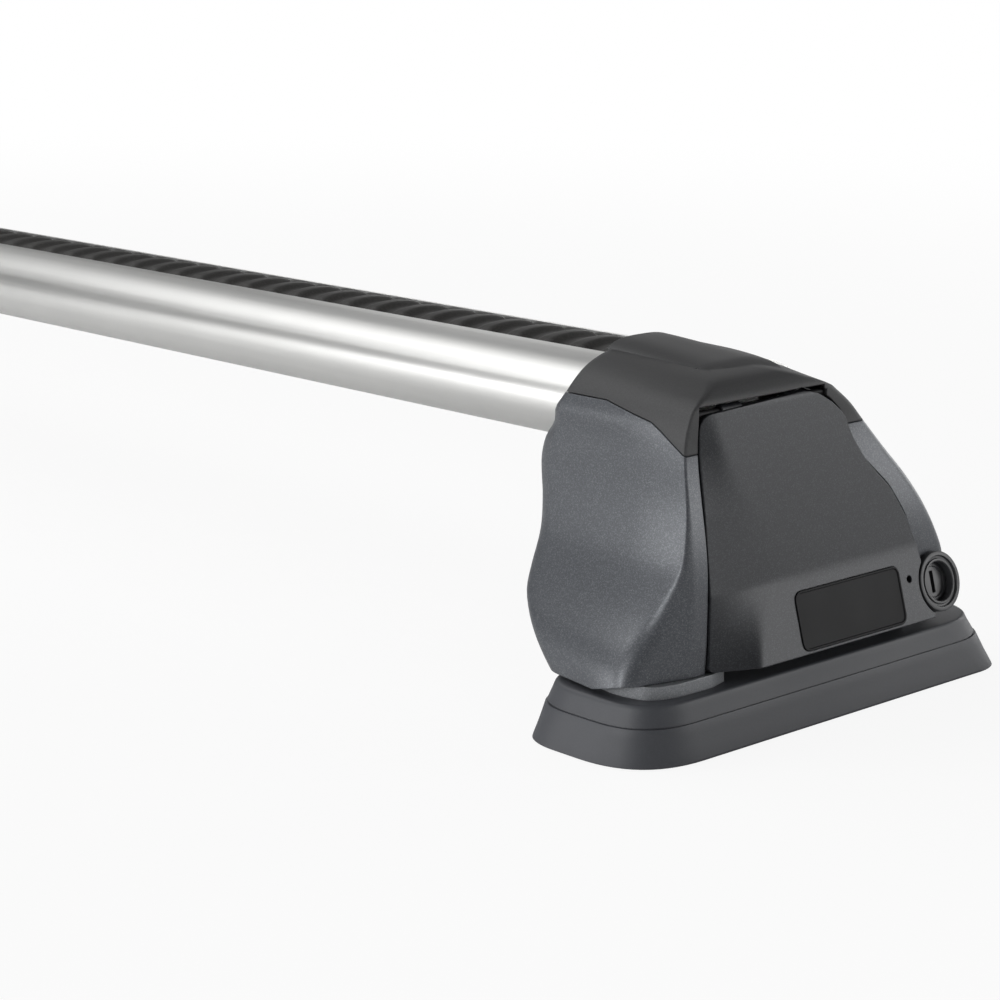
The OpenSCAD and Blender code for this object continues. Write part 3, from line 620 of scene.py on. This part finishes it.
rings = [cap_ring(86 + 1.5 * i, 0) for i in range(13)]
rings += [cap_ring(104 + 9.4 * i / 24, 0) for i in range(1, 25)]
rings += [cap_ring(CROWN_Z, 0, k / 8) for k in (7, 6, 5, 4, 3, 2, 1, 0.02)]
rings += [cap_ring(CROWN_INSIDE_Z, 0, k, CAP_WALL) for k in (0.003, 0.2, 0.5, 0.8)]
rings += [cap_ring(z, CAP_WALL * (117 - z) / 11.5, 1, CAP_WALL * (z - 102.5) / 9)
          for z in (111.5, 110, 108, 105.5)]
rings += [cap_ring(z, CAP_WALL) for z in (102.5, 97.5, 93.5, 90, 86)]
arch_rings = []
for i in range(25):
    x = ARCH_LINE[0][0] + ARCH_STEP * i
    base = ARCH_BASE - CROWN_FALL * (x - FALL_FROM_X) - ARCH_END_BOW * max(0, x - ARCH_END_X) ** 2
    arc = [(x, ARCH_HALF * y, base + (through(ARCH_LINE, x) - base) * max(0, 1 - abs(y) ** 3) ** 0.8)
           for y in (math.cos(math.pi * k / 32) for k in range(33))]
    arch_rings.append([(x, ARCH_HALF, base - 1), *arc, (x, -ARCH_HALF, base - 1)])
mouth = [(MOUTH_HALF * math.cos(turn), MOUTH_Z + MOUTH_RISE * math.sin(turn) ** 0.8)
         for turn in (math.pi * k / 24 for k in range(25))]
mouth = [(-MOUTH_HALF, BAR_Z), *reversed(mouth), (MOUTH_HALF, BAR_Z)]
cap = carved(
    lofted(rings, True),
    ("INTERSECT", prism(SEAM, "y", *ACROSS)),
    ("UNION", lofted(arch_rings, False)),
    ("UNION", box(*NEAR_BLOCK)),
    ("UNION", hinge_rod(BOSS_R, 25, 27.5)),
    ("DIFFERENCE", prism(aerofoil(BAR_SLACK), "x", -30, 59.2)),
    ("DIFFERENCE", prism(mouth, "x", 0, MOUTH_STOP_X)),
    ("DIFFERENCE", door_opening()),
    ("DIFFERENCE", hinge_rod(TURN_ROOM_R, -33.1, 23.8)),
    ("DIFFERENCE", hinge_rod(BOSS_ROOM_R, 23, 24.8)),
    ("DIFFERENCE", hinge_rod(PIN_HOLE_R, -34.8, 40)))
on_both_legs("cap_moulding", cap, cap_skin, "cap_plastic", "top_cap")

# Base casting: a die-cast foot with a flange on the pad, a portal and a cradle under the bar. Its
# flecked finish is lighter than the housing's.
cast_paint = flecked("cast_fleck", (0.18, 0.188, 0.2), (0.26, 0.27, 0.285), (0.37, 0.38, 0.395), 0.36)


def as_cast(name, node, finish, slot, body="root"):
    """The CAD solids of both legs with joined faces and their finish."""
    for side in ("right", "left"):
        mesh = mesh_from(merged(f"{node}_{side}"), name, finish)
        show(f"{name}_{side}", mesh, slot, ridden(body, side), f"{node}_{side}")


as_cast("foot_casting", "base_casting", cast_paint, "cast_base")

# Base pad: a thick moulded rubber block under the casting. Its skirt leans in to a fine groove, and a
# band runs on from the groove to a rounded rim. The roundness of three corners changes with the height.
PAD_H = 19
PAD_LEVELS = ((0, 0.7), (0.006, 0.3), (0.02, 0.05), (0.05, 0.15), (0.3, 1.5), (0.47, 2.3), (0.622, 3.0),
              (0.632, 3.1), (0.636, 3.8), (0.652, 3.9), (0.658, 3.5), (0.75, 4.07), (0.85, 4.7),
              (0.93, 5.15), (0.965, 5.45), (0.985, 5.8), (0.996, 6.3), (1, 7))
pad_skin = Finish("pad_rubber")
bloom = pad_skin.noise(22, 3)
fine = pad_skin.noise(1800, 3)
pad_skin.feed(
    Base_Color=pad_skin.mix(bloom * 0.5 + fine * 0.5, (0.046, 0.0485, 0.0555), (0.07, 0.0735, 0.0835)),
    Roughness=0.46 + bloom * 0.1,
    Normal=pad_skin.relief(fine, 0.012 * MM))


def pad_ring(f, inset):
    """The pad's outline at a share of its height."""
    x0, x1 = PAD_X0 + 0.8 * inset, PAD_X0 + PAD_W - 0.65 * inset
    y0, y1 = PAD_Y0 + inset, PAD_Y0 + PAD_LEN - 1.1 * inset
    corners = ((x1, y0), (x0, y0), (x0, y1), (x1, y1))
    return [(p.x, p.y, f * PAD_H) for p in rounded(corners, (27 - 9 * f, 18 + f, 20, 14 + 11 * f), 14)]


on_both_legs("pad_moulding", lofted([pad_ring(f, inset) for f, inset in PAD_LEVELS], False), pad_skin,
             "pad_rubber", "base_pad", smooth=40)

# Door: a moulded lid over the fixings. Its upper face leans back, its lower face leans out from a soft
# valley, and a long facet falls away to the near seam. Knuckles and a hook are moulded behind it.
VALLEY = (83.8, 47.5)
UPPER_SLOPE = 0.1018
DOOR_WALL = 2.4
SEAM_X = ((20, 83), (47.5, 83), (72, 80.3), (90.6, 77.6), (108, 77.3))
CREASE_Y = ((20, -18), (25, -17), (36.4, -13.9), (47.5, -10.8), (72, -18.4), (90.6, -24.4), (108, -30))
SWEEP = 2.73
DOOR_Y = (-34, 69)
DOOR_Z = (22.5, 105.5)
KNUCKLE_R, PIN_BORE_R = 1.8, 1.1
KNUCKLES = ((-22.5, -14), (6, 14.5))
DRAIN_R, DRAIN_AT = 1.2, (0, 57.4, -10)
HOOK_STEM = (63.2, 86, 51, 56, 26.5, 35)
HOOK_TIP = (63.2, 65.4, 51, 60.5, 26.5, 35)
VALLEY_SOFT, FACET_SOFT = 0.35, 0.55


def soft_max(a, b, width):
    """The larger of two values, rounded where they cross."""
    t = max(width - abs(a - b), 0) / width
    return max(a, b) + t * t * width / 4


def straight(table, z):
    """The value at a height on straight lines between the table's rows."""
    for (z0, v0), (z1, v1) in zip(table, table[1:]):
        if z <= z1:
            return v0 + (v1 - v0) * (z - z0) / (z1 - z0)
    return table[-1][1]


def door_face(y, z):
    """How far out the door's face lies."""
    upper = VALLEY[0] - (z - VALLEY[1]) * UPPER_SLOPE
    lower = VALLEY[0] + (VALLEY[1] - z) * math.tan(LEAN)
    main = soft_max(upper, lower, VALLEY_SOFT)
    sharp = max(upper, lower)
    seam = min(straight(SEAM_X, z), sharp)
    crease = straight(CREASE_Y, z)
    facet = seam + (sharp - seam) * (y - DOOR_EDGE[0][0]) / (crease - DOOR_EDGE[0][0])
    face = -soft_max(-main, -facet, FACET_SOFT)
    over = z - HINGE[1]
    if over > 0:
        face = min(face, HINGE[0] + math.sqrt(SWEEP ** 2 - min(over, SWEEP - 0.3) ** 2))
    return face


door_skin = flecked(
    "door_fleck", (0.0148, 0.0162, 0.0192), (0.0237, 0.0256, 0.0297), (0.066, 0.0705, 0.078), 0.38)
bm = bmesh.new()
bmesh.ops.create_grid(bm, x_segments=130, y_segments=104, size=0.5)
for vert in bm.verts:
    y = DOOR_Y[0] + (vert.co.x + 0.5) * (DOOR_Y[1] - DOOR_Y[0])
    z = DOOR_Z[0] + (vert.co.y + 0.5) * (DOOR_Z[1] - DOOR_Z[0])
    vert.co = (door_face(y, z), y, z)
bmesh.ops.translate(bm, vec=(-DOOR_WALL, 0, 0), verts=extruded(bm))
bmesh.ops.recalc_face_normals(bm, faces=bm.faces)
FACE_FRAME = Matrix.Translation((VALLEY[0], 0, VALLEY[1])) @ Matrix.Rotation(-LEAN, 4, "Y")
PLATE_Y, PLATE_TOP, PLATE_LEN, PLATE_H = 2.7, 4.6, 50, 18.8
PLATE_SEAT = 0.8
PLATE_FACE = 0.38
POCKET_GAP = 0.15
RIM_WIDTH, RIM_SLOPE, RIM_DEPTH = 0.55, 0.2, 0.3


def plate_outline(grow, radius):
    """The plate's rounded outline in the frame of the lower face."""
    y0, y1 = PLATE_Y - grow, PLATE_Y + PLATE_LEN + grow
    z1, z0 = -PLATE_TOP + grow, -PLATE_TOP - PLATE_H - grow
    return rounded(((y0, z0), (y0, z1), (y1, z1), (y1, z0)), (radius,) * 4, 8)


pocket = prism(plate_outline(POCKET_GAP, 3.4), "x", -PLATE_SEAT, 5)
bmesh.ops.transform(pocket, matrix=FACE_FRAME, verts=pocket.verts)
drain = cylinder(
    DRAIN_R, 12, FACE_FRAME @ Matrix.Translation(DRAIN_AT) @ Matrix.Rotation(QUARTER, 4, "Y"))
knuckles = []
for start, stop in KNUCKLES:
    knuckles.append(("UNION", hinge_rod(KNUCKLE_R, start, stop)))
    knuckles.append(("UNION", box(HINGE[0], 77.3, start, stop, 100.1, 102.9)))
door = carved(
    bm,
    ("INTERSECT", prism(rounded(DOOR_EDGE, DOOR_SOFT, 6), "x", 60, 100)),
    *knuckles,
    ("UNION", box(*HOOK_STEM)),
    ("UNION", box(*HOOK_TIP)),
    ("DIFFERENCE", hinge_rod(PIN_BORE_R, -40, 40)),
    ("DIFFERENCE", rod(COLLAR_R + COLLAR_NOTCH, -20, 8)),
    ("DIFFERENCE", pocket),
    ("DIFFERENCE", drain))
on_both_legs("door_lid", door, door_skin, "door_plastic", "door", body="door", smooth=28)

# Door plate: a small dark badge carrier pressed into a pocket in the door. Its face is bare inside a
# thin raised rim.
gloss = Finish("plate_gloss")
haze = gloss.noise(60, 3)
gloss.feed(
    Base_Color=gloss.mix(haze, (0.006, 0.006, 0.007), (0.011, 0.011, 0.012)),
    Specular_IOR_Level=0.12,
    Roughness=0.42 + haze * 0.1,
    Normal=gloss.relief(haze, 0.01 * MM, 0.2 * MM))
bm = prism(plate_outline(0, 3.2), "x", -PLATE_SEAT, PLATE_FACE)
front = [f for f in bm.faces if f.calc_center_median().x > PLATE_FACE - 0.01]
bmesh.ops.inset_region(bm, faces=front, thickness=RIM_WIDTH, depth=0)
bmesh.ops.inset_region(bm, faces=front, thickness=RIM_SLOPE, depth=-RIM_DEPTH)
bmesh.ops.transform(bm, matrix=FACE_FRAME, verts=bm.verts)
on_both_legs("badge_carrier", bm, gloss, "plate_plastic", "door_plate", body="door")

# Lock: a stepped collar fixed in the housing, and a barrel with a keyway behind its face. The pawl
# and its screw are on the barrel's tail, inside the leg.
lock_black = Finish("lock_black")
scuff = lock_black.noise(300, 4)
lock_black.feed(
    Base_Color=lock_black.mix(scuff, (0.03, 0.031, 0.034), (0.06, 0.062, 0.066)),
    Roughness=0.36 + scuff * 0.12,
    Normal=lock_black.relief(scuff, 0.01 * MM, 0.3 * MM))


def turned(profile):
    """A turned part on the lock's axis, from depth and radius pairs that close on themselves."""
    bm = bmesh.new()
    verts = [bm.verts.new((-s, 0, r)) for s, r in profile]
    edges = [bm.edges.new((a, b)) for a, b in zip(verts, verts[1:] + verts[:1])]
    bmesh.ops.spin(bm, geom=verts + edges, cent=(0, 0, 0), axis=(1, 0, 0), dvec=(0, 0, 0),
                   angle=2 * math.pi, steps=96, use_merge=True)
    bmesh.ops.remove_doubles(bm, verts=bm.verts, dist=0.002)
    bmesh.ops.recalc_face_normals(bm, faces=bm.faces)
    bmesh.ops.transform(bm, matrix=LOCK_FRAME, verts=bm.verts)
    return bm


COLLAR_PROFILE = ((0.5, 10), (0.12, 9.85), (0, 9.5), (0, 8.5), (0.7, 8.3), (0.8, 7.6), (0.35, 7.45),
                  (0.3, 6.8), (0.6, 6.5), (16.3, 6.5), (16.3, 7.6), (12, 7.6), (12, 10))
front_of_wall = prism(((40, 0), (40, 80), (100, 80), (100, 0)), "x", 82.2, 110)
sleeve = turned(((3, 6.5), (16.3, 6.5), (16.3, 7.6), (3, 7.6)))
collar = carved(turned(COLLAR_PROFILE), ("INTERSECT", front_of_wall))
bm = bmesh.new()
for part in (collar, sleeve):
    mesh = bpy.data.meshes.new("part")
    part.to_mesh(mesh)
    part.free()
    bm.from_mesh(mesh)
    bpy.data.meshes.remove(mesh)
on_both_legs("lock_ring", bm, lock_black, "black_plastic", "lock_collar")

BARREL_PROFILE = ((3.3, 6.42), (3.05, 6.2), (3, 5.2), (3.5, 5.0), (3.5, 0.001), (16.3, 0.001), (16.3, 6.42))
keyway = prism(((-0.8, -3.6), (-0.8, 3.6), (0.8, 3.6), (0.8, -3.6)), "x", -9, 2)
bmesh.ops.transform(keyway, matrix=LOCK_FRAME, verts=keyway.verts)
on_both_legs("lock_core", carved(turned(BARREL_PROFILE), ("DIFFERENCE", keyway)), lock_black, "lock_metal",
             "lock_barrel", body="lock")

# Steel parts inside the leg: pawl, pawl screw, bar bolts with their washers and nuts, and the housing
# screws. All are bright zinc plated.
zinc = Finish("zinc_plate", Metallic=1.0)
passivation = zinc.noise(260, 4)
zinc.feed(
    Base_Color=zinc.mix(passivation, (0.5, 0.5, 0.48), (0.66, 0.66, 0.64)),
    Roughness=0.28 + passivation * 0.14,
    Normal=zinc.relief(passivation, 0.01 * MM, 0.15 * MM))
for name, node, body in (("pawl_plate", "lock_pawl", "lock"),
                         ("pawl_fixing", "pawl_screw", "lock"), ("hex_bolts", "bar_bolts", "root"),
                         ("hex_nuts", "bar_nuts", "root"), ("plain_washers", "bolt_washers", "root"),
                         ("pan_screws", "housing_screws", "root")):
    as_cast(name, node, zinc, "steel", body)

# Hinge pin: a length of blackened steel wire through the door's knuckles and the cap's blocks.
blackened = Finish("blackened_steel", Metallic=0.6)
oxide = blackened.noise(500, 3)
blackened.feed(
    Base_Color=blackened.mix(oxide, (0.012, 0.012, 0.013), (0.03, 0.03, 0.031)),
    Roughness=0.5 + oxide * 0.15,
    Normal=blackened.relief(oxide, 0.006 * MM, 0.15 * MM))
as_cast("hinge_wire", "hinge_pin", blackened, "steel")

# Saddle: a thin moulded liner between the cradle and the bar.
as_cast("bar_saddle", "saddle_pad", lock_black, "black_plastic")
